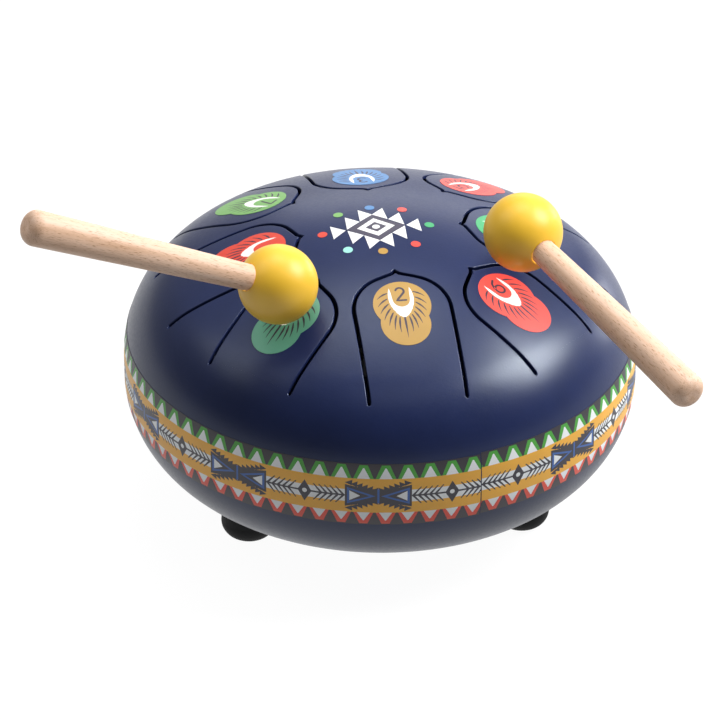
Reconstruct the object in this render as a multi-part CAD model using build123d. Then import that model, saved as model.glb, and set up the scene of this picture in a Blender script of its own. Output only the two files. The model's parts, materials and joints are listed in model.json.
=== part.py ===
from build123d import *
from math import asin, cos, pi, radians, sin, sqrt, tan
import os

os.makedirs("parts", exist_ok=True)

# ---------------------------------------------------------------- overall sizes (mm)
DRUM_R = 100.0          # outer radius of the steel body at its widest
WALL = 1.5              # pressed sheet
TOP_CROWN_R = 160.0     # large dome arc of the top shell
TOP_SHOULDER_R = 42.0   # rounded shoulder of the top shell
TOP_STRAIGHT = 5.0      # upright wall above the seam
BOT_CROWN_R = 283.0     # shallow dish of the bottom shell
BOT_SHOULDER_R = 40.0
BOT_STRAIGHT = 2.8      # upright wall below the seam
SOUND_HOLE_R = 25.0     # port in the middle of the bottom shell

# tongues
PATTERN_DEG = 9.6       # turn of the whole pattern about the drum's axis
LONG_TIP = 32.1         # axis to the tip of the four long tongues
WEB = 4.92              # narrowest metal between a short tongue's slot and its neighbours'
ROOT_X = 85.5           # axis to the straight root line of every tongue
TONGUE_HALF = 18.75     # slot centre line to the tongue's middle
SLOT = 1.4              # slot width
TIP_HALF_DEG = 70.0     # half angle of the pointed tip
NIB = 0.9               # small sharper point in front of the tip
NIB_HALF_DEG = 45.0
HEAD_ARC_R = 16.0       # arc from the tip's flank to the straight side
ROOT_GAP = 0.1          # hairline between a tongue and the shell at its root

# painted skins
SKIN = 0.25
PRINT_X, PRINT_Y = -2.0, -3.0       # the centre print sits a little off the axis
SPOT = ((16.4, 11.1), (25.3, 9.6))  # a note spot: distance from the tip and radius of its two lobes
BAND_LOW, BAND_HIGH = 12.0, 15.0    # below and above the seam
BAND_SEAM_DEG = -67.4
BAND_STEP = 0.6         # one strip sits this much higher
BAND_SKIN = 0.3

# feet
FOOT_RING = 61.8
FOOT_START_DEG = 94.8
FOOT_COUNT = 3
FOOT_R = 10.8
FOOT_PAD_R = 5.9
FOOT_CLEAR = 7.7        # lowest point of the bottom shell's dish above the ground
FOOT_ROUND = 7.0

# mallets
BALL_R = 15.3
HANDLE_R = 5.1
BUTT_R = 6.9
REACH = 114.5           # ball centre to the end of the handle
REST_GAP = 0.7          # ball to the steel under it
SOCKET = 12.5           # depth of the handle in the ball

# ---------------------------------------------------------------- derived
def half_profile(crown, shoulder, straight):
    """slope angle where the dome meets the shoulder, and the height above the seam"""
    a = asin((DRUM_R - shoulder) / (crown - shoulder))
    return a, crown * (1 - cos(a)) + shoulder * cos(a) + straight


TOP_A, TOP_H = half_profile(TOP_CROWN_R, TOP_SHOULDER_R, TOP_STRAIGHT)
BOT_A, BOT_H = half_profile(BOT_CROWN_R, BOT_SHOULDER_R, BOT_STRAIGHT)
GROUND_DROP = BOT_H + FOOT_CLEAR    # seam plane down to the ground

# a tongue's head arc is centred this far behind its tip and off its middle line
HEAD_BACK = (HEAD_ARC_R + cos(radians(TIP_HALF_DEG)) * (TONGUE_HALF - HEAD_ARC_R)) / sin(radians(TIP_HALF_DEG))
HEAD_OFF = TONGUE_HALF - HEAD_ARC_R
SHORT_TIP = sqrt(2) * (WEB + SLOT + TONGUE_HALF + HEAD_ARC_R) + HEAD_OFF - HEAD_BACK


def top_z(r):
    if r <= TOP_CROWN_R * sin(TOP_A):
        return TOP_H - TOP_CROWN_R + sqrt(TOP_CROWN_R**2 - r * r)
    return TOP_STRAIGHT + sqrt(TOP_SHOULDER_R**2 - (r - DRUM_R + TOP_SHOULDER_R) ** 2)


def bot_z(r, inset=0.0):
    c = BOT_CROWN_R - inset
    return -(BOT_H - BOT_CROWN_R + sqrt(c * c - r * r))


# the seam plane's height when z = 0 is the middle of the sound hole's wall
SEAM_Z = -(bot_z(SOUND_HOLE_R) + bot_z(SOUND_HOLE_R, WALL)) / 2
SEAM = Pos(0, 0, SEAM_Z)


def half_edges(crown, shoulder, straight, a, h, off, sign):
    """outer (or offset) meridian from the axis to the seam plane"""
    rc, rs = crown + off, shoulder + off
    cz, sr = h - crown, DRUM_R - shoulder

    def p(r, z):
        return (r, sign * z)

    apex = p(0, cz + rc)
    mid = p(rc * sin(a / 2), cz + rc * cos(a / 2))
    join = p(rc * sin(a), cz + rc * cos(a))
    b = (a + pi / 2) / 2
    mid2 = p(sr + rs * sin(b), straight + rs * cos(b))
    low = p(sr + rs, straight)
    end = p(sr + rs, 0)
    return [ThreePointArc(apex, mid, join), ThreePointArc(join, mid2, low), Line(low, end)], apex, end


def shell_between(kind, off_in, off_out):
    args = {
        "top": (TOP_CROWN_R, TOP_SHOULDER_R, TOP_STRAIGHT, TOP_A, TOP_H),
        "bot": (BOT_CROWN_R, BOT_SHOULDER_R, BOT_STRAIGHT, BOT_A, BOT_H),
    }[kind]
    sign = 1 if kind == "top" else -1
    outer, apex_o, end_o = half_edges(*args, off_out, sign)
    if off_in is None:
        edges = outer + [Line(end_o, (0, 0)), Line((0, 0), apex_o)]
    else:
        inner, apex_i, end_i = half_edges(*args, off_in, sign)
        edges = outer + inner + [Line(apex_o, apex_i), Line(end_o, end_i)]
    return revolve(Plane.XZ * make_face(edges), Axis.Z, 360)


def outline(tip, grow, root, back=0.0):
    """plan outline of a tongue, pointing from its tip (toward the axis) along +X"""
    h = radians(TIP_HALF_DEG)
    ax, ay = HEAD_BACK, HEAD_OFF
    rad = HEAD_ARC_R + grow
    x0 = tip - grow / sin(h)
    tx, ty = ax - rad * sin(h), ay + rad * cos(h)
    k = radians(NIB_HALF_DEG)
    xn = tip - NIB - grow / sin(k)
    ny = (x0 - xn) / (1 / tan(k) - 1 / tan(h))
    nib = (xn + ny / tan(k), ny)
    pts_top = [nib, (tip + tx, ty), (tip + ax - rad * sin(h / 2), ay + rad * cos(h / 2)), (tip + ax, ay + rad)]
    end = root - back
    side = ay + rad
    up = [
        Line((xn, 0), nib),
        Line(pts_top[0], pts_top[1]),
        ThreePointArc(pts_top[1], pts_top[2], pts_top[3]),
        Line(pts_top[3], (end, side)),
    ]
    dn = [
        Line((xn, 0), (nib[0], -nib[1])),
        Line((nib[0], -nib[1]), (pts_top[1][0], -pts_top[1][1])),
        ThreePointArc(
            (pts_top[1][0], -pts_top[1][1]), (pts_top[2][0], -pts_top[2][1]), (pts_top[3][0], -pts_top[3][1])
        ),
        Line((pts_top[3][0], -pts_top[3][1]), (end, -side)),
    ]
    return make_face(up + dn + [Line((end, side), (end, -side))])


# tongue number -> (angle about the axis, tip distance)
TONGUES = {
    1: (0, LONG_TIP),
    2: (-90, LONG_TIP),
    3: (90, LONG_TIP),
    4: (180, LONG_TIP),
    5: (45, SHORT_TIP),
    6: (-45, SHORT_TIP),
    7: (135, SHORT_TIP),
    8: (-135, SHORT_TIP),
}

full_top = shell_between("top", -WALL, 0)
top = full_top
skin = shell_between("top", 0, SKIN)
parts = {}

for n, (deg, tip) in TONGUES.items():
    turn = Rot(0, 0, deg + PATTERN_DEG)
    hole = extrude(outline(tip, SLOT / 2, ROOT_X), 120)
    for s in (1, -1):
        hole += Pos(ROOT_X, s * TONGUE_HALF, 60) * Cylinder(SLOT / 2, 120)
    top = top - turn * hole
    blank = extrude(outline(tip, -SLOT / 2, ROOT_X, ROOT_GAP), 120)
    parts["tongue_%d" % n] = full_top & (turn * blank)
    (near, near_r), (far, far_r) = SPOT
    spot = Pos(tip + near, 0, 60) * Cylinder(near_r, 120) + Pos(tip + far, 0, 60) * Cylinder(far_r, 120)
    parts["note_decal_%d" % n] = skin & (turn * spot)

parts["top_shell"] = top

bottom = shell_between("bot", -WALL, 0)
bottom -= Cylinder(SOUND_HOLE_R, 400)
FOOT_ANGLES = [FOOT_START_DEG + 360.0 / FOOT_COUNT * i for i in range(FOOT_COUNT)]
SCREW_R = 2.0
for a in FOOT_ANGLES:
    bottom -= Rot(0, 0, a) * Pos(FOOT_RING, 0, -40) * Cylinder(SCREW_R + 0.25, 80)
parts["bottom_shell"] = bottom

# bead that joins the two shells, inside the drum at the seam
BEAD = 1.3
ri = DRUM_R - WALL
bead = make_face([Line((ri, -BEAD), (ri, BEAD)), ThreePointArc((ri, BEAD), (ri - BEAD * 0.8, 0), (ri, -BEAD))])
parts["seam_weld"] = revolve(Plane.XZ * bead, Axis.Z, 360)

# ---------------------------------------------------------------- painted skins
# rhombus with a crown of triangles, in the pattern's own axes (u, v)
RU, RV = 11.1, 9.5


def poly(pts):
    return make_face([Line(pts[i], pts[(i + 1) % len(pts)]) for i in range(len(pts))])


motif = poly([(RU, 0), (0, RV), (-RU, 0), (0, -RV)])
for su in (1, -1):
    for sv in (1, -1):
        motif += poly([(0, sv * 9.2), (su * 5.4, sv * 4.6), (su * 4.8, sv * 14.3)])
        motif += poly([(su * 5.6, sv * 4.4), (su * 10.9, 0), (su * 10.6, sv * 9.7)])
tails = [
    poly([(su * 11.9, 0), (su * 17.2, 4.65), (su * 17.2, -4.65)])
    for su in (1, -1)
]
turn = Pos(PRINT_X, PRINT_Y, 0) * Rot(0, 0, PATTERN_DEG)
decal = skin & (turn * extrude(motif, 120))
centre = [s for s in decal.solids()]
for t in tails:
    centre += (skin & (turn * extrude(t, 120))).solids()
parts["centre_decal"] = Compound(centre)

DOTS = {0: 20.9, 45: 17.4, 90: 15.5, 135: 18.0, 180: 20.9, 225: 18.5, 270: 16.6, 315: 18.8}
DOT_R = 1.9
dots = []
for deg, r in DOTS.items():
    dots += (skin & (turn * Rot(0, 0, deg) * Pos(r, 0, 60) * Cylinder(DOT_R, 120))).solids()
parts["dot_decals"] = Compound(dots)


def band(lift, start, sweep):
    def meridian(off):
        s = TOP_SHOULDER_R + off
        c = DRUM_R - TOP_SHOULDER_R
        zt = BAND_HIGH + lift
        a_top = asin((zt - TOP_STRAIGHT) / s)
        sb = BOT_SHOULDER_R + off
        cb = DRUM_R - BOT_SHOULDER_R
        zb = BAND_LOW - lift
        a_bot = asin((zb - BOT_STRAIGHT) / sb)
        t0 = (c + s * cos(a_top), zt)
        t1 = (c + s * cos(a_top / 2), TOP_STRAIGHT + s * sin(a_top / 2))
        t2 = (c + s, TOP_STRAIGHT)
        b2 = (cb + sb, -BOT_STRAIGHT)
        b1 = (cb + sb * cos(a_bot / 2), -BOT_STRAIGHT - sb * sin(a_bot / 2))
        b0 = (cb + sb * cos(a_bot), -zb)
        return [ThreePointArc(t0, t1, t2), Line(t2, b2), ThreePointArc(b2, b1, b0)], t0, b0

    e_in, ti, bi = meridian(0)
    e_out, to, bo = meridian(BAND_SKIN)
    face = Plane.XZ * make_face(e_in + e_out + [Line(ti, to), Line(bi, bo)])
    return Rot(0, 0, start) * revolve(face, Axis.Z, sweep)


BAND_END_GAP = 0.25     # degrees
parts["band_strip_right"] = band(BAND_STEP, BAND_SEAM_DEG + BAND_END_GAP / 2, 180 - BAND_END_GAP)
parts["band_strip_left"] = band(0.0, BAND_SEAM_DEG + 180 + BAND_END_GAP / 2, 180 - BAND_END_GAP)

# ---------------------------------------------------------------- feet
bottom_full = shell_between("bot", None, 0)
bottom_cavity = shell_between("bot", None, -WALL)
HEAD_H, HEAD_R, RECESS_R, RECESS = 2.4, 3.1, 3.7, 7.0
feet, screws, bosses = [], [], []
for a in FOOT_ANGLES:
    place = Rot(0, 0, a) * Pos(FOOT_RING, 0, -GROUND_DROP)
    q = FOOT_ROUND * (1 - sin(pi / 4))
    side = make_face(
        [
            Line((0, 0), (FOOT_PAD_R, 0)),
            ThreePointArc(
                (FOOT_PAD_R, 0),
                (FOOT_R - q * (FOOT_R - FOOT_PAD_R) / FOOT_ROUND, q * 1.1),
                (FOOT_R, FOOT_ROUND + 0.6),
            ),
            Line((FOOT_R, FOOT_ROUND + 0.6), (FOOT_R, 30)),
            Line((FOOT_R, 30), (0, 30)),
            Line((0, 30), (0, 0)),
        ]
    )
    foot = revolve(Plane.XZ * side, Axis.Z, 360)
    foot -= Pos(0, 0, RECESS / 2) * Cylinder(RECESS_R, RECESS)
    foot -= Pos(0, 0, 20) * Cylinder(SCREW_R + 0.15, 60)
    foot = (place * foot) - bottom_full
    feet += foot.solids()
    top_of_boss = bot_z(FOOT_RING) + WALL + 6.5 + GROUND_DROP
    head = Pos(0, 0, RECESS - HEAD_H / 2) * Cylinder(HEAD_R, HEAD_H)
    edge = head.edges().filter_by(GeomType.CIRCLE).sort_by(Axis.Z)[0]
    head = fillet(edge, 0.8)
    for r in (0, 90):
        head -= Rot(0, 0, r + 45) * Pos(0, 0, RECESS - HEAD_H) * Box(3.6, 0.8, 2.0)
    shank_len = top_of_boss + 1.5 - RECESS
    shank = Pos(0, 0, RECESS + shank_len / 2) * Cylinder(SCREW_R, shank_len)
    screws += (place * (head + shank)).solids()
    boss = Pos(0, 0, top_of_boss - 7) * Cylinder(5.0, 14)
    boss -= Pos(0, 0, 20) * Cylinder(SCREW_R + 0.05, 60)
    bosses += ((place * boss) & bottom_cavity).solids()
parts["feet"] = Compound(feet)
parts["foot_screws"] = Compound(screws)
parts["foot_weld_bosses"] = Compound(bosses)

# ---------------------------------------------------------------- mallets
# side: (azimuth of the ball, ball's distance from the axis, handle azimuth, handle rise)
MALLETS = {
    "left": (-126.8, 65.2, -154.2, 26.6),
    "right": (-17.7, 57.1, -57.3, -6.8),
}
for side, (az, r, haz, rise) in MALLETS.items():
    slope = asin(r / (TOP_CROWN_R + BALL_R + REST_GAP))
    z = TOP_H - TOP_CROWN_R + (TOP_CROWN_R + BALL_R + REST_GAP) * cos(slope)
    d = (cos(radians(rise)) * cos(radians(haz)), cos(radians(rise)) * sin(radians(haz)), sin(radians(rise)))
    plane = Plane(origin=(r * cos(radians(az)), r * sin(radians(az)), z), z_dir=d)
    mouth = sqrt(BALL_R**2 - HANDLE_R**2)
    start = mouth - SOCKET
    ball = Sphere(BALL_R) - Pos(0, 0, start - 0.1 + 20) * Cylinder(HANDLE_R + 0.03, 40)
    rnd = 4.6
    b = BUTT_R
    stick = make_face(
        [
            Line((0, start), (HANDLE_R, start)),
            Line((HANDLE_R, start), (HANDLE_R, mouth + 1)),
            Line((HANDLE_R, mouth + 1), (b, REACH - rnd)),
            ThreePointArc((b, REACH - rnd), (b - rnd * (1 - cos(pi / 4)), REACH - rnd * (1 - sin(pi / 4))), (b - rnd, REACH)),
            Line((b - rnd, REACH), (0, REACH)),
            Line((0, REACH), (0, start)),
        ]
    )
    parts["mallet_%s_handle" % side] = plane * revolve(Plane.XZ * stick, Axis.Z, 360)
    parts["mallet_%s_head" % side] = plane * ball

for name, shape in parts.items():
    export_step(SEAM * shape, "parts/%s.step" % name)
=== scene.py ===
"""Looks for the small steel tongue drum: painted shells, printed film, wooden mallets, rubber feet."""

import json
from math import asin, atan2, cos, degrees, hypot, pi, radians, sin, sqrt, tan

import bpy
from mathutils import Matrix, Vector
from mathutils.geometry import delaunay_2d_cdt

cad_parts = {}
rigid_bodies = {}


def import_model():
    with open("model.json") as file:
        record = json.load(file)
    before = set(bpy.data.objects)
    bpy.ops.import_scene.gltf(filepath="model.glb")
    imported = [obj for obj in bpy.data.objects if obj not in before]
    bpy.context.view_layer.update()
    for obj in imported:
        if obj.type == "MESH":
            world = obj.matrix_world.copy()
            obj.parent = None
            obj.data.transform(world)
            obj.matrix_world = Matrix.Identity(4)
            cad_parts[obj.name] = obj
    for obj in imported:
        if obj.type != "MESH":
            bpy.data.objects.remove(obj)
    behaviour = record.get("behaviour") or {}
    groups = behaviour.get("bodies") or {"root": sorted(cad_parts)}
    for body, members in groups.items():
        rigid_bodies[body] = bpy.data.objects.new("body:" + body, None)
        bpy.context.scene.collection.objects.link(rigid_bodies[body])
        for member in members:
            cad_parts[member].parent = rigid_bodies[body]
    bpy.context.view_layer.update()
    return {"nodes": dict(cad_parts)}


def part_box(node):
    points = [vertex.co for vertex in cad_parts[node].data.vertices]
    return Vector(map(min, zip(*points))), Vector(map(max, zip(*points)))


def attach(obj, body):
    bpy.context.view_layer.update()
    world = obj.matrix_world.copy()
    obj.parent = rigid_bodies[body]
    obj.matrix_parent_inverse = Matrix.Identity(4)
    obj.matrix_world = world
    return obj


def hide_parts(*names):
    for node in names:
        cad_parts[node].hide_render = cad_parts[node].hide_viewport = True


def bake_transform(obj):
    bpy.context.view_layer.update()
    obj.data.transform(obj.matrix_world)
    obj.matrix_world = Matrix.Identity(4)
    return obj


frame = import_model()
MM = 0.001

# ------------------------------------------------------------------ sizes shared with the CAD (mm)
DRUM_R, WALL = 100.0, 1.5
CROWN, SHOULDER, STRAIGHT = 160.0, 42.0, 5.0  # top shell: two radii and a straight wall
B_CROWN, B_SHOULDER, B_STRAIGHT, HOLE_R = 283.0, 40.0, 2.8, 25.0  # bottom shell, with its sound hole
TURN = 9.6  # how far the whole pattern is turned about the axis, in degrees
ROOT_X, HALF_W, SLOT, TIP_DEG, HEAD_R, WEB = 85.5, 18.75, 1.4, 70.0, 16.0, 4.92
HEAD_BACK = (HEAD_R + cos(radians(TIP_DEG)) * (HALF_W - HEAD_R)) / sin(radians(TIP_DEG))
LONG_TIP = 32.1
SHORT_TIP = sqrt(2) * (WEB + SLOT + HALF_W + HEAD_R) + HALF_W - HEAD_R - HEAD_BACK
NIB, NIB_DEG = 0.9, 45.0
PRINT_X, PRINT_Y = -2.0, -3.0
# each tongue's direction, in degrees from +X
TONGUES = {1: 0, 2: -90, 3: 90, 4: 180, 5: 45, 6: -45, 7: 135, 8: -135}
# the band's lower edge and height, the step between its two strips, and the direction of their front joint
BAND_LOW, BAND_H, BAND_STEP, BAND_SEAM = -12.0, 27.0, 0.6, -67.4
SEAM = (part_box("seam_weld")[0][2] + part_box("seam_weld")[1][2]) / 2 / MM
ROUND = 0.40  # paint-rounded slot edges
HAIR = 0.004  # the tongue's root edge stays this far from the shell's


def tip_of(n):
    """plan distance of tongue n's tip from the axis"""
    return LONG_TIP if n <= 4 else SHORT_TIP


# ------------------------------------------------------------------ surface of the top shell
T_ANG = asin((DRUM_R - SHOULDER) / (CROWN - SHOULDER))
T_H = CROWN * (1 - cos(T_ANG)) + SHOULDER * cos(T_ANG) + STRAIGHT
# way over the surface from the top's middle to the end of the crown, the shoulder and the straight wall
S1 = CROWN * T_ANG
S2 = S1 + SHOULDER * (pi / 2 - T_ANG)
S3 = S2 + STRAIGHT


def s_of_r(r):
    """way over the top's surface out to plan radius r"""
    if r <= CROWN * sin(T_ANG):
        return CROWN * asin(r / CROWN)
    return S1 + SHOULDER * (asin(min(1, (r - DRUM_R + SHOULDER) / SHOULDER)) - T_ANG)


def dome(x, y, off=0.0):
    """(x, y) on the flattened dome, in mm of surface from the apex, to a point and a normal"""
    s, a = hypot(x, y), atan2(y, x)
    if s <= S1:
        t = s / CROWN
        r, z = (CROWN + off) * sin(t), T_H - CROWN + (CROWN + off) * cos(t)
    elif s <= S2:
        t = T_ANG + (s - S1) / SHOULDER
        r, z = DRUM_R - SHOULDER + (SHOULDER + off) * sin(t), STRAIGHT + (SHOULDER + off) * cos(t)
    else:
        t = pi / 2
        r, z = DRUM_R + off, STRAIGHT - (s - S2)
    return (r * cos(a), r * sin(a), z + SEAM), (sin(t) * cos(a), sin(t) * sin(a), cos(t))


def flat(px, py, turn):
    """plan point along/across a tongue's axis to the flattened dome"""
    s = s_of_r(hypot(px, py))
    a = atan2(py, px) + radians(turn)
    return s * cos(a), s * sin(a)


def wall_r(z):
    """outer radius of the body at height z above the seam, and the normal's tilt"""
    if z > STRAIGHT:
        t = asin((z - STRAIGHT) / SHOULDER)
        return DRUM_R - SHOULDER + SHOULDER * cos(t), t
    if z < -B_STRAIGHT:
        t = asin((z + B_STRAIGHT) / B_SHOULDER)
        return DRUM_R - B_SHOULDER + B_SHOULDER * cos(t), t
    return DRUM_R, 0.0


# ------------------------------------------------------------------ mesh helpers
def make(name, verts, faces, mats, mat_ids=None, normals=None, matrix=None):
    """a mesh object, verts in mm, with given vertex normals"""
    me = bpy.data.meshes.new(name)
    me.from_pydata([(x * MM, y * MM, z * MM) for x, y, z in verts], [], faces)
    for m in mats:
        me.materials.append(m)
    if mat_ids is not None:
        me.polygons.foreach_set("material_index", mat_ids)
    me.polygons.foreach_set("use_smooth", [True] * len(me.polygons))
    me.update()
    if normals is not None:
        me.normals_split_custom_set_from_vertices([Vector(n).normalized() for n in normals])
    ob = bpy.data.objects.new(name, me)
    if matrix is not None:
        ob.matrix_world = matrix
    bpy.context.scene.collection.objects.link(ob)
    return ob


def lathe(profile, steps, matrix=None, name="lathe", mats=()):
    """a turned shape; the profile holds (radius, z) points, and a third value creases the shading there"""
    rows, verts, norms, faces = [], [], [], []
    n = len(profile)
    pts = [(p[0], p[1]) for p in profile]
    for i in range(n):
        r, z = pts[i]
        dirs = []
        if i > 0:
            dirs.append((pts[i][0] - pts[i - 1][0], pts[i][1] - pts[i - 1][1]))
        if i < n - 1:
            dirs.append((pts[i + 1][0] - pts[i][0], pts[i + 1][1] - pts[i][1]))
        uses = [dirs] if len(profile[i]) < 3 or len(dirs) == 1 else [[dirs[0]], [dirs[1]]]
        for ds in uses:
            dx = sum(d[0] / max(hypot(*d), 1e-9) for d in ds)
            dz = sum(d[1] / max(hypot(*d), 1e-9) for d in ds)
            rows.append((r, z, dz, -dx, i))
    for r, z, nr, nz, _ in rows:
        for j in range(steps):
            a = 2 * pi * j / steps
            verts.append((r * cos(a), r * sin(a), z))
            norms.append((nr * cos(a), nr * sin(a), nz))
    for k in range(len(rows) - 1):
        if rows[k][4] == rows[k + 1][4]:
            continue
        for j in range(steps):
            a, b = k * steps + j, k * steps + (j + 1) % steps
            c, d = b + steps, a + steps
            if rows[k][0] < 1e-6:
                faces.append((a, c, d))
            elif rows[k + 1][0] < 1e-6:
                faces.append((a, b, d))
            else:
                faces.append((a, b, c, d))
    return make(name, verts, faces, mats, None, norms, matrix)


def arc(cx, cy, r, a0, a1, n):
    angles = [radians(a0 + (a1 - a0) * i / n) for i in range(n + 1)]
    return [(cx + r * cos(a), cy + r * sin(a)) for a in angles]


def circle(cx, cy, r, n=40):
    return [(cx + r * cos(2 * pi * i / n), cy + r * sin(2 * pi * i / n)) for i in range(n)]


def inside(p, loop):
    x, y = p
    hit = False
    for i in range(len(loop)):
        x1, y1 = loop[i]
        x2, y2 = loop[i - 1]
        if (y1 > y) != (y2 > y) and x < (x2 - x1) * (y - y1) / (y2 - y1) + x1:
            hit = not hit
    return hit


def loop_area(lp):
    return sum(lp[i - 1][0] * lp[i][1] - lp[i][0] * lp[i - 1][1] for i in range(len(lp))) / 2


def cdt(loops, points):
    """Delaunay triangles over closed loops and loose points.

    Returns coordinates, triangles, and the loops that each triangle lies in."""
    vs, faces = [], []
    for lp in loops:
        ids = list(range(len(vs), len(vs) + len(lp)))
        faces.append(ids if loop_area(lp) > 0 else ids[::-1])
        vs += [Vector(p) for p in lp]
    vs += [Vector(p) for p in points]
    out = delaunay_2d_cdt(vs, [], faces, 1, 1e-6, True)
    return [tuple(v) for v in out[0]], out[2], out[5]


# ------------------------------------------------------------------ tongue outline
def tongue_outline(tip, grow, root=ROOT_X):
    """plan points from one root corner round the tip to the other, with inward unit normals"""
    h = radians(TIP_DEG)
    ax, ay = HEAD_BACK, HALF_W - HEAD_R
    rad = HEAD_R + grow
    up = []
    k = radians(NIB_DEG)
    x0, xn = tip - grow / sin(h), tip - NIB - grow / sin(k)
    ny = (x0 - xn) / (1 / tan(k) - 1 / tan(h))
    nx = xn + ny / tan(k)
    tx, ty = tip + ax - rad * sin(h), ay + rad * cos(h)
    for i in range(3):
        t = i / 3
        up.append((xn + (nx - xn) * t, ny * t, sin(k), -cos(k)))
    for i in range(6):
        t = i / 6
        up.append((nx + (tx - nx) * t, ny + (ty - ny) * t, sin(h), -cos(h)))
    for i in range(19):
        a = h * (1 - i / 18)
        up.append((tip + ax - rad * sin(a), ay + rad * cos(a), sin(a), -cos(a)))
    x1 = tip + ax
    n = 16
    for i in range(1, n + 1):
        up.append((x1 + (root - x1) * i / n, ay + rad, 0, -1))
    down = [(x, -y, nx, -ny) for x, y, nx, ny in reversed(up[1:])]
    first = (up[0][0], 0, 1, 0)
    return down + [first] + up[1:]


def cap(side):
    """round end of a slot, from the tongue's side outward"""
    pts = []
    for i in range(1, 8):
        a = radians(-90 + 180 * i / 8)
        pts.append((ROOT_X + SLOT / 2 * cos(a), side * (HALF_W + SLOT / 2 * sin(a)), cos(a), side * sin(a)))
    return pts


EDGE_STEPS = 4  # steps round a slot's edge
NUDGE = 0.01  # a short way along a direction, in mm, to find where it leads on the dome


def slab(name, loops, outer, grid, keep):
    """a curved sheet with rounded slot edges; loops hold (x, y, nx, ny, rounded) on the flattened dome

    (nx, ny) points into the material."""
    top_loops = []
    for lp in loops:
        top_loops.append([(x + nx * ROUND * rd, y + ny * ROUND * rd) for x, y, nx, ny, rd in lp])
    base = ([outer] if outer else []) + top_loops
    xy, tris, owners = cdt(base, grid)
    tris = [t for t, o in zip(tris, owners) if keep(set(o))]
    used = sorted(set(i for t in tris for i in t))
    new = {i: k for k, i in enumerate(used)}
    verts, norms, faces = [], [], []
    for i in used:
        p, n = dome(*xy[i])
        verts.append(p)
        norms.append(n)
    for t in tris:
        a, b, c = (xy[i] for i in t)
        ccw = (b[0] - a[0]) * (c[1] - a[1]) - (b[1] - a[1]) * (c[0] - a[0]) > 0
        t = t if ccw else t[::-1]
        faces.append([new[i] for i in t])
    m = len(verts)
    for i in used:
        p, n = dome(*xy[i], -WALL)
        verts.append(p)
        norms.append((-n[0], -n[1], -n[2]))
    faces += [[m + i for i in f[::-1]] for f in faces]
    for lp in loops:
        rings = []
        for k in range(EDGE_STEPS + 2):
            f = radians(90 * min(k, EDGE_STEPS) / EDGE_STEPS)
            ring = []
            for x, y, nx, ny, rd in lp:
                inset = ROUND * (1 - sin(f)) * rd
                depth = ROUND * (1 - cos(f)) * rd
                if k > EDGE_STEPS:
                    inset, depth = 0, WALL
                p, n = dome(x + nx * inset, y + ny * inset, -depth)
                q, _ = dome(x - nx * NUDGE, y - ny * NUDGE)
                w, _ = dome(x, y)
                side = Vector(q) - Vector(w)
                side = side.normalized() if side.length > 0 else Vector(n)
                nn = Vector(n) * cos(f) + side * sin(f) if rd else side
                ring.append(len(verts))
                verts.append(p)
                norms.append(tuple(nn))
            rings.append(ring)
        # the material is on the side that the normals point to
        mx, my = lp[1][0] - lp[0][0], lp[1][1] - lp[0][1]
        left = mx * lp[0][3] - my * lp[0][2] > 0
        for k in range(EDGE_STEPS + 1):
            for j in range(len(lp)):
                a, b = rings[k][j], rings[k][(j + 1) % len(lp)]
                c, d = rings[k + 1][(j + 1) % len(lp)], rings[k + 1][j]
                faces.append((a, d, c, b) if left else (a, b, c, d))
    return make(name, verts, faces, [MAT["navy"]], None, norms)


# ------------------------------------------------------------------ materials
def lin(r, g, b):
    """a colour in 8-bit sRGB as linear values"""
    return tuple(((c / 255 + 0.055) / 1.055) ** 2.4 if c > 10 else c / 255 / 12.92 for c in (r, g, b))


def new_mat(name):
    m = bpy.data.materials.new(name)
    m.use_nodes = True
    nt = m.node_tree
    return m, nt, nt.nodes["Principled BSDF"]


def node(nt, kind, **kw):
    n = nt.nodes.new(kind)
    for k, v in kw.items():
        if k in ("operation", "data_type"):
            setattr(n, k, v)
        else:
            n.inputs[k].default_value = v
    return n


def noise(nt, scale, detail=3.0, rough=0.5, stretch=None, distort=0.0):
    tc = node(nt, "ShaderNodeTexCoord")
    n = node(nt, "ShaderNodeTexNoise", Scale=scale, Detail=detail, Roughness=rough, Distortion=distort)
    if stretch:
        mp = node(nt, "ShaderNodeMapping")
        mp.inputs["Scale"].default_value = stretch
        nt.links.new(tc.outputs["Object"], mp.inputs["Vector"])
        nt.links.new(mp.outputs["Vector"], n.inputs["Vector"])
    else:
        nt.links.new(tc.outputs["Object"], n.inputs["Vector"])
    return n


def ramp(nt, src, stops):
    r = nt.nodes.new("ShaderNodeValToRGB")
    e = r.color_ramp.elements
    while len(e) < len(stops):
        e.new(0.5)
    for el, (pos, col) in zip(e, stops):
        el.position = pos
        el.color = (*col, 1) if len(col) == 3 else col
    nt.links.new(src, r.inputs["Fac"])
    return r


def bump(nt, bsdf, src, strength, dist, prev=None):
    b = node(nt, "ShaderNodeBump", Strength=strength, Distance=dist)
    nt.links.new(src, b.inputs["Height"])
    if prev:
        nt.links.new(prev.outputs["Normal"], b.inputs["Normal"])
    nt.links.new(b.outputs["Normal"], bsdf.inputs["Normal"])
    return b


def grey(a):
    return (a, a, a)


MAT = {}


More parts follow.
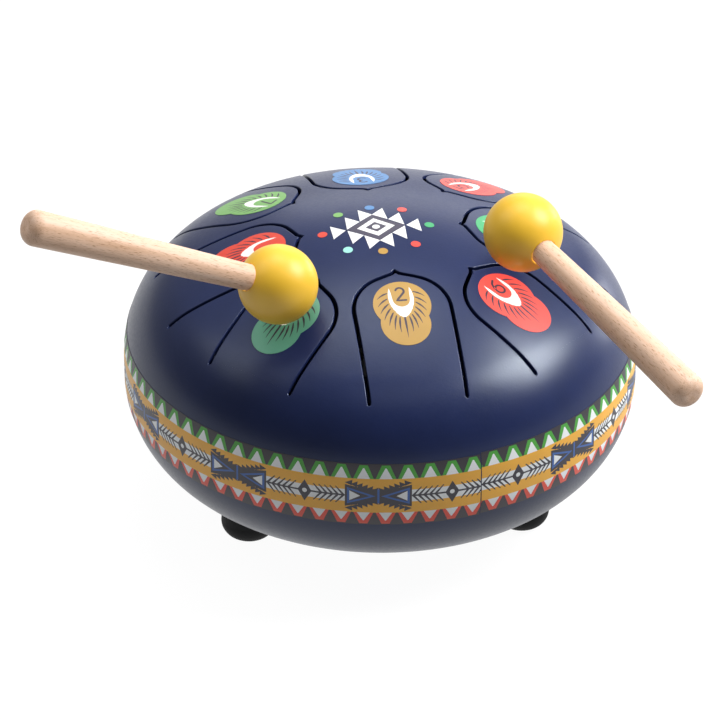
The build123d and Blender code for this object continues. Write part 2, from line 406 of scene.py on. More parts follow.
def paint(name, col, rough, spread, peel):
    """sprayed or printed paint: faint cloudiness by spread, orange peel by peel, and a varying gloss"""
    m, nt, b = new_mat(name)
    c = noise(nt, 60.0, 4.0, 0.6)
    dark = [v * (1 - spread) for v in col]
    light = [min(1, v * (1 + spread)) for v in col]
    r = ramp(nt, c.outputs["Fac"], [(0.3, dark), (0.7, light)])
    nt.links.new(r.outputs["Color"], b.inputs["Base Color"])
    g = noise(nt, 900.0, 2.0)
    rr = ramp(nt, g.outputs["Fac"], [(0.35, grey(rough - 0.03)), (0.65, grey(rough + 0.03))])
    nt.links.new(rr.outputs["Color"], b.inputs["Roughness"])
    p = noise(nt, 1100.0, 2.0, 0.55)
    bump(nt, b, p.outputs["Fac"], peel, 0.00006)
    MAT[name] = m


paint("navy", (0.0095, 0.0165, 0.066), 0.325, 0.08, 0.42)
NAVY = MAT["navy"].node_tree.nodes["Principled BSDF"]
NAVY.inputs["Specular IOR Level"].default_value = 0.36
NAVY.inputs["Specular Tint"].default_value = (0.84, 0.92, 0.97, 1)
COLOURS = {
    "ochre_spot": (182, 142, 64),
    "red_spot": (226, 72, 62),
    "teal_spot": (88, 152, 128),
    "orange_spot": (216, 68, 50),
    "lime_spot": (118, 172, 95),
    "blue_spot": (80, 129, 182),
    "coral_spot": (224, 84, 76),
    "green_spot": (62, 164, 106),
    "ink": (52, 38, 58),
    "chalk": (240, 240, 238),
    "slate": (70, 66, 84),
    "band_dark": (44, 40, 48),
    "band_green": (68, 158, 54),
    "band_ochre": (241, 178, 56),
    "band_pale": (238, 242, 245),
    "band_red": (230, 74, 54),
    "band_blue": (50, 96, 170),
    "dot_aqua": (150, 220, 205),
}
for key, rgb in COLOURS.items():
    paint(key, lin(*rgb), 0.42, 0.05, 0.25)


def rubber():
    """matt black moulded rubber"""
    m, nt, b = new_mat("rubber")
    n = noise(nt, 700.0, 4.0)
    r = ramp(nt, n.outputs["Fac"], [(0.3, lin(8, 9, 10)), (0.8, lin(20, 21, 24))])
    nt.links.new(r.outputs["Color"], b.inputs["Base Color"])
    b.inputs["Roughness"].default_value = 0.7
    b.inputs["Specular IOR Level"].default_value = 0.22
    bump(nt, b, n.outputs["Fac"], 0.4, 0.0001)
    MAT["rubber"] = m


def metal(name, col, rough):
    """bare metal, a little mottled"""
    m, nt, b = new_mat(name)
    n = noise(nt, 500.0, 3.0)
    r = ramp(nt, n.outputs["Fac"], [(0.3, [v * 0.85 for v in col]), (0.7, col)])
    nt.links.new(r.outputs["Color"], b.inputs["Base Color"])
    b.inputs["Metallic"].default_value = 1.0
    b.inputs["Roughness"].default_value = rough
    bump(nt, b, n.outputs["Fac"], 0.3, 0.00005)
    MAT[name] = m


def beech():
    """turned beech: soft long grain and short dark flecks along the stick (local Z)"""
    m, nt, b = new_mat("beech")
    grain = noise(nt, 240.0, 4.0, 0.6, (1, 1, 0.05), 0.6)
    tones = [(0.30, lin(214, 173, 141)), (0.50, lin(226, 188, 159)), (0.72, lin(233, 201, 178))]
    base = ramp(nt, grain.outputs["Fac"], tones)
    fleck = noise(nt, 3200.0, 2.0, 0.5, (1, 1, 0.11))
    fm = ramp(nt, fleck.outputs["Fac"], [(0.56, grey(0)), (0.70, grey(0.8))])
    mix = node(nt, "ShaderNodeMix", data_type="RGBA")
    nt.links.new(fm.outputs["Color"], mix.inputs["Factor"])
    nt.links.new(base.outputs["Color"], mix.inputs["A"])
    mix.inputs["B"].default_value = (*lin(168, 118, 80), 1)
    nt.links.new(mix.outputs["Result"], b.inputs["Base Color"])
    b.inputs["Roughness"].default_value = 0.5
    g = noise(nt, 700.0, 3.0, 0.6, (1, 1, 0.06))
    bump(nt, b, g.outputs["Fac"], 0.35, 0.00012)
    MAT["beech"] = m


def lacquer():
    """satin yellow lacquer over a wooden ball"""
    m, nt, b = new_mat("lacquer")
    n = noise(nt, 45.0, 3.0)
    r = ramp(nt, n.outputs["Fac"], [(0.3, lin(241, 190, 46)), (0.7, lin(249, 201, 58))])
    nt.links.new(r.outputs["Color"], b.inputs["Base Color"])
    b.inputs["Roughness"].default_value = 0.42
    p = noise(nt, 260.0, 2.0)
    bump(nt, b, p.outputs["Fac"], 0.12, 0.0001)
    MAT["lacquer"] = m


rubber()
metal("zinc", (0.60, 0.61, 0.62), 0.32)
metal("weld", (0.32, 0.32, 0.33), 0.5)
beech()
lacquer()

# ------------------------------------------------------------------ shells and tongues
GRID = 3.6  # spacing of the mesh points on the dome
CLEAR = 1.6  # how far they stay from a slot's edge


def disc_grid(rmax, step):
    """points of a triangle grid inside a circle"""
    pts, rows = [], int(rmax / (step * 0.866)) + 1
    for j in range(-rows, rows + 1):
        for i in range(-int(rmax / step) - 1, int(rmax / step) + 2):
            x, y = (i + 0.5 * (j % 2)) * step, j * step * 0.866
            if hypot(x, y) < rmax:
                pts.append((x, y))
    return pts


def shell_loops(n):
    """the slot's loop in the shell, and the tongue's own loop, both on the flattened dome"""
    turn, tip = TONGUES[n] + TURN, tip_of(n)

    def place(pts):
        out = []
        for x, y, nx, ny, rd in pts:
            a = flat(x, y, turn)
            b = flat(x + nx * NUDGE, y + ny * NUDGE, turn)
            dx, dy = b[0] - a[0], b[1] - a[1]
            d = hypot(dx, dy) or 1
            out.append((a[0], a[1], dx / d, dy / d, rd))
        return out

    outer = tongue_outline(tip, SLOT / 2)
    inner = tongue_outline(tip, -SLOT / 2, ROOT_X - HAIR)
    w = HALF_W - SLOT / 2
    root = [(ROOT_X, -(w - ROUND) + 2 * (w - ROUND) * i / 14, 1, 0, 0.0) for i in range(15)]
    # tongue: material inside the loop
    tongue = [(x, y, nx, ny, 1.0) for x, y, nx, ny in inner]
    tongue += [(x - HAIR, -y, -1, 0, 0.0) for x, y, _, _, _ in root]
    # shell: material outside the loop
    hole = [(x, y, -nx, -ny, 1.0) for x, y, nx, ny in outer[:-1]]
    hole.append((outer[-1][0], outer[-1][1], 0, 1, 1.0))
    hole[0] = (outer[0][0], outer[0][1], 0, -1, 1.0)
    hole += [(x, y, nx, ny, 1.0) for x, y, nx, ny in reversed(cap(1))]
    hole.append((ROOT_X, w, 0, -1, 1.0))
    hole += [(x, -y, 1, 0, 0.0) for x, y, _, _, _ in root]
    hole.append((ROOT_X, -w, 0, 1, 1.0))
    hole += [(x, y, nx, ny, 1.0) for x, y, nx, ny in cap(-1)]
    return place(hole), place(tongue)


def build_top():
    """the top shell with its eight slots, and a tongue in each"""
    holes, tongues = {}, {}
    for n in TONGUES:
        holes[n], tongues[n] = shell_loops(n)
    grid = disc_grid(S3 - 2.5, GRID)
    count = 240
    rim = circle(0, 0, S3, count)
    between = [2 * pi * (i + 0.5) / count for i in range(count)]
    rim2 = [((S3 - 2.0) * cos(a), (S3 - 2.0) * sin(a)) for a in between]
    near = {}
    for p in grid:
        spot = None
        for n in TONGUES:
            a = atan2(p[1], p[0]) - radians(TONGUES[n] + TURN)
            a = (a + pi) % (2 * pi) - pi
            if abs(a) > 1.0:  # further round than a tongue reaches
                continue
            lp = [(q[0], q[1]) for q in holes[n]]
            if inside(p, lp):
                spot = n
                break
        near.setdefault(spot, []).append(p)

    def clear(p, loops, d):
        return all((p[0] - q[0]) ** 2 + (p[1] - q[1]) ** 2 > d * d for lp in loops for q in lp)

    all_holes = [holes[n] for n in TONGUES]
    shell_pts = [p for p in near[None] if clear(p, all_holes, CLEAR)]
    top = slab("top_shell_looks", all_holes, rim, shell_pts + rim2, lambda o: o == {0})
    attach(top, "drum")
    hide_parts("top_shell")
    for n in TONGUES:
        edge = [(q[0], q[1]) for q in tongues[n]]
        pts = [p for p in near.get(n, []) if inside(p, edge) and clear(p, [tongues[n]], CLEAR)]
        ob = slab("tongue_%d_looks" % n, [tongues[n]], None, pts, bool)
        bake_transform(ob)
        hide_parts("tongue_%d" % n)


build_top()


def build_bottom():
    """the bottom shell, turned, with a rounded lip round the sound hole"""
    ang = asin((DRUM_R - B_SHOULDER) / (B_CROWN - B_SHOULDER))
    h = B_CROWN * (1 - cos(ang)) + B_SHOULDER * cos(ang) + B_STRAIGHT

    def line(off):
        c, s = B_CROWN + off, B_SHOULDER + off
        t0 = asin(HOLE_R / c)
        angles = [t0 + (ang - t0) * i / 24 for i in range(25)]
        pts = [(c * sin(t), -(h - B_CROWN + c * cos(t))) for t in angles]
        for i in range(1, 33):
            t = ang + (pi / 2 - ang) * i / 32
            pts.append((DRUM_R - B_SHOULDER + s * sin(t), -(B_STRAIGHT + s * cos(t))))
        pts.append((DRUM_R + off, 0.0))
        return pts

    outer, inner = line(0), line(-WALL)
    x0, z0 = outer[0]
    turns = [radians(a) for a in (0, 22, 45, 68, 90)]
    lip = [(x0 + ROUND * (1 - sin(t)), z0 + ROUND * (1 - cos(t))) for t in turns]
    prof = inner[::-1] + [(x0, z0 + WALL, 1)] + lip[::-1] + outer[2:]
    prof[len(inner) - 1] = (*inner[0], 1)
    prof = [(p[0], p[1] + SEAM, *p[2:]) for p in prof]
    ob = lathe(prof, 180, None, "bottom_shell_looks", [MAT["navy"]])
    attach(ob, "drum")
    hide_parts("bottom_shell")


build_bottom()

# ------------------------------------------------------------------ printed film
LIFT = 0.12  # how far the printed face stands over the paint


def film(name, polys, colours, points, place, body, nodes):
    """polys: [(colour, loop)] in painter's order, the first ones being the film's own outline(s)"""
    loops = [p for _, p, *_ in polys]
    base = set(i for i, p in enumerate(polys) if len(p) > 2)
    xy, tris, owners = cdt(loops, points)
    keep, ids = [], []
    for t, o in zip(tris, owners):
        if base & set(o):
            a, b, c = (xy[i] for i in t)
            area = (b[0] - a[0]) * (c[1] - a[1]) - (b[1] - a[1]) * (c[0] - a[0])
            if abs(area) < 1e-9:
                continue
            keep.append(t if area > 0 else t[::-1])
            ids.append(colours.index(polys[max(o)][0]))
    edges = {}
    for k, t in enumerate(keep):
        for i in range(3):
            e = (t[i], t[(i + 1) % 3])
            if (e[1], e[0]) in edges:
                del edges[(e[1], e[0])]
            else:
                edges[e] = k
    p0, n0 = place(*xy[keep[0][0]])
    p1, p2 = (Vector(place(*xy[i])[0]) - Vector(p0) for i in keep[0][1:])
    if p1.cross(p2).dot(Vector(n0)) < 0:
        keep = [t[::-1] for t in keep]
        edges = {(b, a): k for (a, b), k in edges.items()}
    used = sorted(set(i for t in keep for i in t))
    new = {i: k for k, i in enumerate(used)}
    verts, norms = [], []
    for i in used:
        p, n = place(*xy[i])
        verts.append(p)
        norms.append(n)
    faces = [[new[i] for i in t] for t in keep]
    for (a, b), k in edges.items():
        pa, na = place(*xy[a])
        pb, nb = place(*xy[b])
        la = tuple(p - n * LIFT for p, n in zip(pa, na))
        lb = tuple(p - n * LIFT for p, n in zip(pb, nb))
        side = (Vector(pb) - Vector(pa)).cross(Vector(na))
        m = len(verts)
        verts += [pa, pb, lb, la]
        norms += [side] * 4
        faces.append([m, m + 3, m + 2, m + 1])
        ids.append(ids[k])
    ob = make(name, verts, faces, [MAT[c] for c in colours], ids, norms)
    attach(ob, body)
    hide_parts(*nodes)
    return ob


def stroke(pts, width, taper=(1.0, 1.0)):
    """a line of that width as a closed polygon; taper gives the share of the width left at its two ends"""
    out_l, out_r = [], []
    n = len(pts)
    for i, (x, y) in enumerate(pts):
        a = pts[max(0, i - 1)]
        b = pts[min(n - 1, i + 1)]
        dx, dy = b[0] - a[0], b[1] - a[1]
        d = hypot(dx, dy) or 1
        t = i / (n - 1)
        start = taper[0] + (1 - taper[0]) * min(1, t * 3)
        end = taper[1] + (1 - taper[1]) * min(1, (1 - t) * 1.6)
        w = width / 2 * start * end
        out_l.append((x - dy / d * w, y + dx / d * w))
        out_r.append((x + dy / d * w, y - dx / d * w))
    return out_l + out_r[::-1]


def bezier(a, b, c, n=9):
    """points on the curve from a to c that b pulls towards itself"""
    pts = []
    for i in range(n + 1):
        t = i / n
        u, v, w = (1 - t) ** 2, 2 * t * (1 - t), t * t
        pts.append((u * a[0] + v * b[0] + w * c[0], u * a[1] + v * b[1] + w * c[1]))
    return pts


def digit(n):
    """generic rounded digits as strokes in a box about 3.6 wide and 5.6 high, y up, centred"""
    s = {
        1: [[(-1.1, 1.7), (0.3, 2.8), (0.3, -2.8)]],
        2: [arc(0, 1.35, 1.45, 160, -35, 12) + [(-1.6, -2.6), (1.7, -2.6)]],
        3: [arc(-0.1, 1.4, 1.35, 140, -80, 12), arc(-0.1, -1.35, 1.5, 80, -145, 14)],
        4: [[(0.6, -2.8), (0.6, 2.8), (-1.8, -1.1), (1.7, -1.1)]],
        5: [[(1.4, 2.7), (-1.1, 2.7), (-1.3, 0.35)] + arc(-0.05, -0.95, 1.75, 130, -145, 16)],
        6: [[(1.2, 2.7), (-0.4, 1.8), (-1.35, 0.2)] + arc(0.1, -1.15, 1.6, 160, -200, 22)],
        7: [[(-1.6, 2.6), (1.6, 2.6), (-0.5, -2.8)]],
        8: [arc(0, 1.45, 1.25, -90, 270, 22), arc(0, -1.4, 1.5, 90, 450, 24)],
    }[n]
    out = []
    for line in s:
        dense = [line[0]]
        for p, q in zip(line, line[1:]):
            k = max(1, int(hypot(q[0] - p[0], q[1] - p[1]) / 0.8))
            dense += [(p[0] + (q[0] - p[0]) * i / k, p[1] + (q[1] - p[1]) * i / k) for i in range(1, k + 1)]
        out.append(dense)
    return out


# a spot's two lobes: radius, and way from the tongue's tip
LOBE_R, LOBE_Y, TAIL_R, TAIL_Y = 11.1, 16.4, 9.6, 25.3


def leaf():
    """two overlapping round lobes as one closed loop, x across the tongue, y from its tip to its root"""
    d = TAIL_Y - LOBE_Y
    y = (LOBE_R**2 - TAIL_R**2 + d * d) / (2 * d)
    x = sqrt(LOBE_R**2 - y * y)
    a = degrees(atan2(y, x))
    b = degrees(atan2(y - d, x))
    top = arc(0, LOBE_Y, LOBE_R, 180 - a, 360 + a, 56)
    low = arc(0, TAIL_Y, TAIL_R, b, 180 - b, 40)
    return top[:-1] + low[:-1]


def feather(n, colour):
    """painter's list of one note's spot: leaf, barbs, shaft, crescent and digit"""
    polys = [(colour, leaf(), True)]
    barbs = 7
    for side in (1, -1):
        for i in range(barbs):
            t = i / (barbs - 1)
            a = radians(-24 + 98 * t**0.92)
            sx, sy = 5.0 * cos(a * 0.98) + 0.3, 14.2 + 8.6 * sin(a)
            length = 4.9 + 1.9 * t
            d = radians(30 + 56 * t)
            ex, ey = sx + length * cos(d), sy + length * sin(d)
            mx, my = (sx + ex) / 2 + 0.55 * sin(d), (sy + ey) / 2 - 0.75 * cos(d)
            line = bezier((side * sx, sy), (side * mx, my), (side * ex, ey))
            polys.append(("ink", stroke(line, 0.78, (0.55, 0.2))))
    polys.append(("ink", stroke([(0.0, 21.8 + 1.1 * i) for i in range(10)], 0.85, (0.8, 0.1))))
    horn, low, inner = (3.9, 8.3), 22.6, 17.8
    waist, bay = (3.1, 19.6), (3.45, 13.0)
    right_out = bezier(horn, (6.2, 14.2), waist, 12) + bezier(waist, (1.7, 22.3), (0, low), 6)[1:]
    right_in = bezier((0, inner), (3.4, 17.5), bay, 12) + bezier(bay, (3.5, 10.4), horn, 5)[1:-1]
    out = []
    for i, (x, y) in enumerate(right_out):
        k = 0.14 if i > 7 and i % 2 else 0.0
        out.append((x + k * 0.5, y + k))
    moon = out + [(-x, y) for x, y in reversed(out[:-1])]
    moon += [(-x, y) for x, y in reversed(right_in[1:])] + right_in
    cleaned = []
    for p in moon:
        if not cleaned or hypot(p[0] - cleaned[-1][0], p[1] - cleaned[-1][1]) > 0.02:
            cleaned.append(p)
    if hypot(cleaned[0][0] - cleaned[-1][0], cleaned[0][1] - cleaned[-1][1]) < 0.02:
        cleaned.pop()
    polys.append(("chalk", cleaned))
    for line in digit(n):
        pts = [(x * 1.1, 11.7 - y * 1.15) for x, y in line]
        ends = (pts[0], pts[-1])
        closed = hypot(ends[0][0] - ends[1][0], ends[0][1] - ends[1][1]) < 0.1
        polys.append(("ink", stroke(pts, 0.86)))
        if not closed:
            for e in ends:
                polys.append(("ink", circle(e[0], e[1], 0.43, 12)))
    return polys


PRINTS = {
    1: ("green_spot", "decal_green"),
    2: ("ochre_spot", "decal_ochre"),
    3: ("blue_spot", "decal_blue"),
    4: ("orange_spot", "decal_red_orange"),
    5: ("coral_spot", "decal_coral"),
    6: ("red_spot", "decal_red"),
    7: ("lime_spot", "decal_light_green"),
    8: ("teal_spot", "decal_teal"),
}


def note_films():
    """the eight printed spots, each riding on its tongue"""
    edge = leaf()
    pts = []
    for i in range(-12, 13):
        for j in range(0, 34):
            p = (i * 1.9 + (j % 2) * 0.95, 5.1 + j * 1.65)
            if inside(p, edge) and all(hypot(p[0] - q[0], p[1] - q[1]) > 0.8 for q in edge):
                pts.append(p)
    for n, deg in TONGUES.items():
        tip, turn = tip_of(n), deg + TURN
        colour, slot = PRINTS[n]

        def place(x, y, tip=tip, turn=turn):
            fx, fy = flat(tip + y, x, turn)
            return dome(fx, fy, LIFT)

        spot, colours = feather(n, colour), [colour, "ink", "chalk"]
        film("note_%d_film" % n, spot, colours, pts, place, "tongue_%d" % n, ["note_decal_%d" % n])


note_films()


def centre_film():
    """the diamond in the middle of the top, and the ring of dots round it"""
    ru, rv = 11.1, 9.5
    polys = [("slate", [(ru, 0), (0, rv), (-ru, 0), (0, -rv)], True)]
    for su in (1, -1):
        for sv in (1, -1):
            polys.append(("chalk", [(0, sv * 9.6), (su * 5.4, sv * 5.2), (su * 4.8, sv * 14.3)], True))
            wing = [(su * 5.6, sv * 5.0), (su * 11.2, sv * 0.5), (su * 10.6, sv * 9.7)]
            polys.append(("chalk", wing, True))
        polys.append(("chalk", [(su * 11.9, 0), (su * 17.2, 4.65), (su * 17.2, -4.65)], True))
    polys.append(("chalk", [(7.4, 0), (0, 6.5), (-7.4, 0), (0, -6.5)]))
    polys.append(("slate", [(4.15, 0), (0, 3.6), (-4.15, 0), (0, -3.6)]))
    polys.append(("chalk", circle(0, 0, 1.5, 24)))
    grid = [(i * 2.2, j * 2.2) for i in range(-8, 9) for j in range(-7, 8)]

    def place(x, y):
        a = radians(TURN)
        fx, fy = flat(x * cos(a) - y * sin(a) + PRINT_X, x * sin(a) + y * cos(a) + PRINT_Y, 0.0)
        return dome(fx, fy, LIFT)

    film("centre_film", polys, ["slate", "chalk"], grid, place, "drum", ["centre_decal"])
    # each dot's direction in degrees, distance in mm and colour
    dots = [
        (0, 20.9, "green_spot"),
        (45, 17.4, "coral_spot"),
        (90, 15.5, "blue_spot"),
        (135, 18.0, "lime_spot"),
        (180, 20.9, "orange_spot"),
        (225, 18.5, "dot_aqua"),
        (270, 16.6, "ochre_spot"),
        (315, 18.8, "red_spot"),
    ]
    polys = [(c, circle(r * cos(radians(a)), r * sin(radians(a)), 1.9, 28), True) for a, r, c in dots]
    names = [c for _, _, c in dots]
    film("dot_film", polys, names, [], place, "drum", ["dot_decals"])


centre_film()

# ------------------------------------------------------------------ band
DEGREE = pi * DRUM_R / 180  # one degree round the drum, in mm
PERIOD = pi * DRUM_R / 37  # one zigzag
ARROW, TIE = PERIOD * 11 / 3, PERIOD * 3  # lengths of the feathered arrow and the bow-tie, which take turns
ZIGZAGS = 45  # tried along a strip; what falls off its ends is cut
ROWS = (0.5, 5.5, 4.9, 5.3, 4.8, 5.5, 0.5)  # from the top: margin, green, ochre, pale, ochre, red, margin


def band_polys(length, zig0, pat0):
    """painter's list of one strip, in mm along and up it

    zig0 is the place of a zigzag's tip, and pat0 the first section's start."""
    top = BAND_H
    y = [top]
    for h in ROWS:
        y.append(y[-1] - h)
    polys = [("band_dark", [(0, 0), (length, 0), (length, top), (0, top)], True)]
    cells = int(length / (PERIOD / 2)) + 1
    for k in range(cells):
        a, b = k * PERIOD / 2, min(length, (k + 1) * PERIOD / 2)
        if b - a < 0.01:
            continue
        polys.append(("band_dark", [(a, 0), (b, 0), (b, y[5]), (a, y[5])]))
        polys.append(("band_dark", [(a, y[2]), (b, y[2]), (b, top), (a, top)]))
        for lo, hi, c in ((y[3], y[2], "band_ochre"), (y[4], y[3], "band_pale"), (y[5], y[4], "band_ochre")):
            polys.append((c, [(a, lo), (b, lo), (b, hi), (a, hi)]))

    def clip(poly, c):
        """cut a convex polygon to the strip's length"""
        for lim, sgn in ((0.0, 1), (length, -1)):
            out = []
            for i in range(len(poly)):
                p, q = poly[i - 1], poly[i]
                dp, dq = (p[0] - lim) * sgn, (q[0] - lim) * sgn
                if (dp >= 0) != (dq >= 0):
                    t = dp / (dp - dq)
                    out.append((lim, p[1] + (q[1] - p[1]) * t))
                if dq >= 0:
                    out.append(q)
            poly = out
            if len(poly) < 3:
                return
        polys.append((c, poly))

    first = zig0 - PERIOD * (int(zig0 / PERIOD) + 2)
    for k in range(ZIGZAGS):
        u = first + k * PERIOD
        if u < -PERIOD or u > length + PERIOD:
            continue
        g0, g1 = y[2], y[1]
        clip([(u - 3.95, g0), (u - 1.55, g1), (u + 1.55, g1), (u + 3.95, g0)], "band_green")
        clip([(u - 2.5, g0), (u - 0.25, g0 + 4.35), (u + 0.25, g0 + 4.35), (u + 2.5, g0)], "band_pale")
        r0, r1 = y[5], y[6]
        clip([(u - 3.8, r0), (u + 3.8, r0), (u + 1.55, r1), (u - 1.55, r1)], "band_red")
        clip([(u - 2.5, r0), (u + 2.5, r0), (u + 0.2, r0 - 3.9), (u - 0.2, r0 - 3.9)], "band_pale")
    mid = (y[3] + y[4]) / 2
    u = pat0
    for k in range(11):
        if k % 2 == 0:
            c = u + ARROW / 2
            lo, hi = mid - 0.36, mid + 0.36
            clip([(u, lo), (u + ARROW, lo), (u + ARROW, hi), (u, hi)], "ink_band")
            clip([(c - 2.75, mid), (c, mid - 4.8), (c + 2.75, mid), (c, mid + 4.8)], "ink_band")
            clip(circle(c, mid, 0.95, 16), "band_pale")
            for side in (1, -1):
                for j in range(5):
                    x = c + side * (6.3 + 2.15 * j)
                    for up in (1, -1):
                        tip_x, tip_y = x - side * 3.0, mid + up * 3.75
                        barb = [
                            (x, mid - up * 0.1),
                            (x + side * 0.62, mid + up * 0.22),
                            (tip_x + side * 0.3, tip_y),
                            (tip_x - side * 0.1, tip_y - up * 0.15),
                            (x - side * 0.5, mid + up * 0.2),
                        ]
                        clip(barb, "ink_band")
            u += ARROW
        else:
            c = u + TIE / 2
            w = 12.7
            lo, hi = mid - 3.2, mid + 3.2
            clip([(c - 2.7, lo), (c + 2.7, lo), (c + 2.7, hi), (c - 2.7, hi)], "ink_band")
            for s in (1, -1):
                def q(x, y_off, s=s):
                    return (c + s * x, mid + y_off)

                clip([q(w, 4.9), q(w, -4.9), q(0.6, -2.3), q(0.6, 2.3)], "ink_band")
                clip([q(11.9, 3.7), q(11.9, -3.7), q(1.1, 0)], "band_blue")
                clip([q(11.0, 2.55), q(11.0, -2.55), q(3.3, 0)], "ink_band")
                clip([q(11.0, 2.2), q(11.0, -2.2), q(6.9, 0)], "band_pale")
                for up in (1, -1):
                    for j in range(6):
                        x0 = w - 1.95 * j
                        base = 5.6 - 0.62 * j
                        near, far = q(x0 + 0.1, up * (base + 0.05)), q(x0 - 2.9, up * (base + 1.35))
                        clip([near, far, q(x0 - 2.6, up * (base - 1.15))], "ink_band")
            clip([(c - 0.4, lo), (c + 0.4, lo), (c + 0.4, hi), (c - 0.4, hi)], "band_blue")
            u += TIE
    return polys


def band_film(name, start, lift, zig_at, pat_at, nodes):
    """start, zig_at and pat_at are angles about the axis in degrees"""
    gap = 0.125  # half the joint between two strips
    length = DEGREE * (180 - 2 * gap)
    polys = band_polys(length, (zig_at - start) * DEGREE, (pat_at - start) * DEGREE)

    def place(u, v):
        z = BAND_LOW + lift + v
        r, t = wall_r(z)
        a = radians(start + gap) + u / DRUM_R
        nx, nz = cos(t), sin(t)
        reach = r + LIFT * nx
        return (reach * cos(a), reach * sin(a), z + LIFT * nz + SEAM), (nx * cos(a), nx * sin(a), nz)

    grid = [(u * PERIOD / 2 - 0.3, v) for u in range(1, 75) for v in (1.5, 4.5, 22.5, 25.5)]
    colours = ["band_dark", "band_green", "band_ochre", "band_pale", "band_red", "band_blue", "ink_band"]
    film(name, polys, colours, grid, place, "drum", nodes)


paint("ink_band", lin(40, 38, 50), 0.42, 0.05, 0.25)
RIGHT_ZIG, LEFT_ZIG = BAND_SEAM + 2.9, -88.8  # directions of one zigzag tip on each strip
LEFT_DIAMOND = -74.2  # direction of the left strip's last diamond
left_start = LEFT_DIAMOND + ARROW / 2 / DEGREE - 180
band_film("band_right_film", BAND_SEAM, BAND_STEP, RIGHT_ZIG, BAND_SEAM, ["band_strip_right"])
band_film("band_left_film", BAND_SEAM - 180, 0.0, LEFT_ZIG, left_start, ["band_strip_left"])

# ------------------------------------------------------------------ mallets
BALL_R, STICK_R, BUTT_R, REACH, REST_GAP, SOCKET = 15.3, 5.1, 6.9, 114.5, 0.7, 12.5
FIT = 0.12  # gap between the handle and its socket
BUTT_ROUND = 4.6
# direction and distance of the ball from the axis, then the handle's heading and rise
MALLETS = {"left": (-126.8, 65.2, -154.2, 26.6), "right": (-17.7, 57.1, -57.3, -6.8)}


def mallet(side):
    """a turned handle in the socket of a ball head"""
    az, r, heading, rise = MALLETS[side]
    slope = asin(r / (CROWN + BALL_R + REST_GAP))
    z = T_H - CROWN + (CROWN + BALL_R + REST_GAP) * cos(slope) + SEAM
    centre = Vector((r * cos(radians(az)), r * sin(radians(az)), z)) * MM
    up, way = radians(rise), radians(heading)
    d = Vector((cos(up) * cos(way), cos(up) * sin(way), sin(up)))
    mat = Matrix.Translation(centre) @ d.to_track_quat("Z", "Y").to_matrix().to_4x4()
    mouth_r = STICK_R + FIT
    a0 = degrees(asin(mouth_r / BALL_R))
    start = sqrt(BALL_R**2 - STICK_R**2) - SOCKET
    ball = [(p[1], p[0]) for p in arc(0, 0, BALL_R, 180, a0 + 1.6, 72)]
    ball[0] = (0.0, -BALL_R)
    e = ball[-1]
    ball += [((e[0] + mouth_r) / 2 + 0.02, e[1] + 0.04), (mouth_r, e[1] - 0.12)]
    ball += [(mouth_r, start - 0.1, 1), (0.0, start - 0.1)]
    head = lathe(ball, 96, mat, "mallet_%s_ball" % side, [MAT["lacquer"]])
    mouth = sqrt(BALL_R**2 - STICK_R**2)
    stick = [(0.0, start), (STICK_R, start, 1), (STICK_R, mouth + 1)]
    n = 18
    for i in range(1, n + 1):
        t = i / n
        stick.append((STICK_R + (BUTT_R - STICK_R) * t, mouth + 1 + (REACH - BUTT_ROUND - mouth - 1) * t))
    stick += [(BUTT_R + x, REACH + y) for x, y in arc(-BUTT_ROUND, -BUTT_ROUND, BUTT_ROUND, 0, 90, 12)[1:]]
    stick += [(0.0, REACH)]
    rod = lathe(stick, 64, mat, "mallet_%s_stick" % side, [MAT["beech"]])
    body = "mallet_" + side
    for ob, nd, sl in ((head, body + "_head", "yellow_lacquer"), (rod, body + "_handle", "beech")):
        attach(ob, body)
        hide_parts(nd)


mallet("left")
mallet("right")

# ------------------------------------------------------------------ feet and fixings keep their CAD shapes
KEPT = {"feet": "rubber", "foot_screws": "zinc", "foot_weld_bosses": "weld", "seam_weld": "weld"}
for key, finish in KEPT.items():
    kept = frame["nodes"][key]
    kept.data.materials.clear()
    kept.data.materials.append(MAT[finish])


# ------------------------------------------------------------------ stage, light, camera
def map_range(nt, source, values, smooth=False):
    """source mapped from values' first pair to its second"""
    n = nt.nodes.new("ShaderNodeMapRange")
    if smooth:
        n.interpolation_type = "SMOOTHSTEP"
    for socket, value in zip(("From Min", "From Max", "To Min", "To Max"), values):
        n.inputs[socket].default_value = value
    nt.links.new(source, n.inputs["Value"])
    return n.outputs["Result"]


def build_floor():
    """a pale floor that glows evenly, with a painted shade round its sound hole: its glow fades to dark
    there, in place of the drum's shadow
    """
    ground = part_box("feet")[0][2]
    bpy.ops.mesh.primitive_plane_add(size=12, location=(0, 0, ground - 0.0002))
    floor = bpy.context.object
    floor.name = "floor"
    m, nt, b = new_mat("floor_white")
    b.inputs["Base Color"].default_value = (0.08, 0.08, 0.08, 1)
    b.inputs["Roughness"].default_value = 0.9
    b.inputs["Specular IOR Level"].default_value = 0.1
    b.inputs["Emission Color"].default_value = (1, 1, 1, 1)
    # painted shade: the floor's glow falls from glow to dark between these two radii round the axis, under
    # the drum
    painted_shade_in, painted_shade_out, dark, glow = 0.019, 0.047, 0.04, 0.96
    spot = node(nt, "ShaderNodeTexCoord")
    reach = node(nt, "ShaderNodeVectorMath", operation="LENGTH")
    nt.links.new(spot.outputs["Object"], reach.inputs[0])
    glow_with_painted_shade = map_range(nt, reach.outputs["Value"], (painted_shade_in, painted_shade_out, dark, glow), True)
    nt.links.new(glow_with_painted_shade, b.inputs["Emission Strength"])
    floor.data.materials.append(m)
    floor.visible_diffuse = False  # it is seen and mirrored, but doesn't light the drum from below


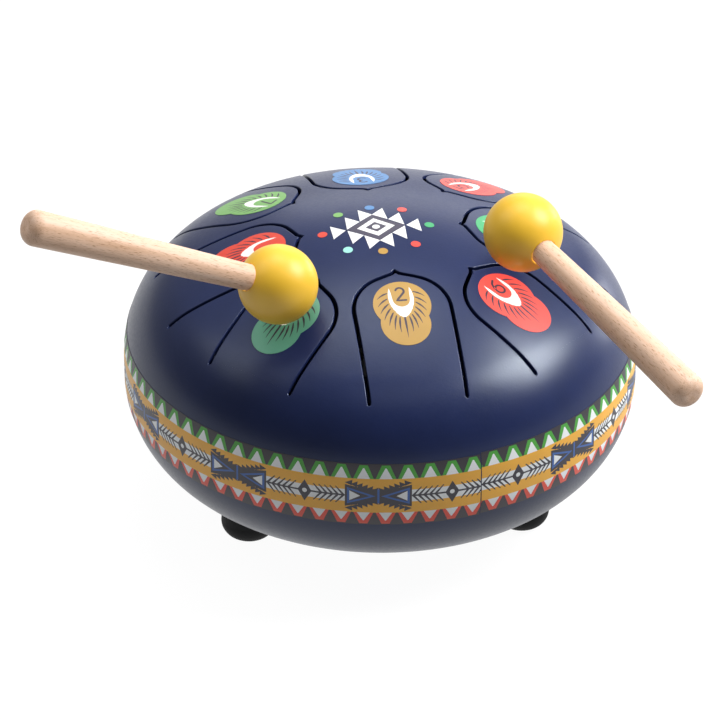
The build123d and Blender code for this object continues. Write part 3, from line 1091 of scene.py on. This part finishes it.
def build_world():
    """soft light, stronger from behind and above, and a weak fill from below in place of the floor's"""
    world = bpy.data.worlds.new("soft")
    bpy.context.scene.world = world
    world.use_nodes = True
    wt = world.node_tree
    bg = wt.nodes["Background"]
    bg.inputs["Color"].default_value = (1, 1, 1, 1)
    way = node(wt, "ShaderNodeTexCoord").outputs["Generated"]
    tilt = node(wt, "ShaderNodeVectorMath", operation="DOT_PRODUCT")
    tilt.inputs[1].default_value = (0.10, 0.85, 0.50)
    wt.links.new(way, tilt.inputs[0])
    above = map_range(wt, tilt.outputs["Value"], (-0.3, 1.0, 0.08, 0.45))
    parts = node(wt, "ShaderNodeSeparateXYZ")
    wt.links.new(way, parts.inputs["Vector"])
    below = map_range(wt, parts.outputs["Z"], (0.0, -0.15, 0.0, 0.34))
    total = node(wt, "ShaderNodeMath", operation="ADD")
    wt.links.new(above, total.inputs[0])
    wt.links.new(below, total.inputs[1])
    wt.links.new(total.outputs["Value"], bg.inputs["Strength"])


def area(name, az, el, dist, size, watts, target=(0, 0, 0.06)):
    """a soft box seen from the drum at that azimuth (from +X, counter-clockwise) and elevation"""
    light = bpy.data.lights.new(name, "AREA")
    light.shape = "RECTANGLE"
    light.size, light.size_y = size
    light.energy = watts
    ob = bpy.data.objects.new(name, light)
    a, e = radians(az), radians(el)
    t = Vector(target)
    ob.location = t + dist * Vector((cos(e) * cos(a), cos(e) * sin(a), sin(e)))
    ob.rotation_euler = (ob.location - t).to_track_quat("Z", "Y").to_euler()
    bpy.context.scene.collection.objects.link(ob)
    return ob


def collect(name, keep):
    group = bpy.data.collections.new(name)
    for ob in bpy.context.scene.objects:
        if ob.type == "MESH" and keep(ob.name):
            group.objects.link(ob)
    return group


def highlight(light, blockers, receivers=None):
    """a light whose highlight on the drum no mallet darkens"""
    light.data.cycles.use_multiple_importance_sampling = False
    light.light_linking.blocker_collection = blockers
    light.light_linking.receiver_collection = receivers


def build_lights():
    shells = ["top_shell_looks"] + ["tongue_%d_looks" % n for n in TONGUES]
    blockers = collect("key_blockers", lambda name: not name.startswith("mallet"))
    sheen_on = collect("sheen_on", lambda name: name in shells)
    highlight(area("key", 5.5, 45, 1.6, (0.78, 0.78), 31), blockers)
    highlight(area("sheen", 10, 47, 1.6, (0.62, 0.56), 12), blockers, sheen_on)
    area("rim", 44, 6, 2.0, (0.7, 0.4), 9)
    area("top", 92, 73, 1.8, (1.0, 0.85), 12)
    area("back", 84, 17, 2.2, (1.4, 0.6), 6)
    area("left_fill", 172, 50, 1.9, (1.0, 0.9), 6)
    area("front_fill", -75, 66, 2.4, (1.2, 0.9), 3)


CAM_EL, CAM_ROLL = radians(31.8), radians(-0.4)
CAM_DIST, CAM_X, CAM_Y = 2.4, 0.0078, 0.00006
LENS, SENSOR = 306.5, 36.0


def build_camera():
    """a long lens that looks down on the drum's seam, a little rolled and shifted"""
    back = Vector((0, -cos(CAM_EL), sin(CAM_EL)))
    level, rise = Vector((1, 0, 0)), back.cross(Vector((1, 0, 0)))
    right = level * cos(CAM_ROLL) - rise * sin(CAM_ROLL)
    up = level * sin(CAM_ROLL) + rise * cos(CAM_ROLL)
    pos = Vector((0, 0, SEAM * MM)) + back * CAM_DIST - right * CAM_X - up * CAM_Y
    cam = bpy.data.cameras.new("camera")
    cam.sensor_width = SENSOR
    cam.lens = LENS
    cam_ob = bpy.data.objects.new("camera", cam)
    rot = Matrix((right, up, back)).transposed().to_4x4()
    cam_ob.matrix_world = Matrix.Translation(pos) @ rot
    bpy.context.scene.collection.objects.link(cam_ob)
    bpy.context.scene.camera = cam_ob


build_floor()
build_world()
build_lights()
build_camera()
bpy.context.scene.view_settings.view_transform = "Standard"
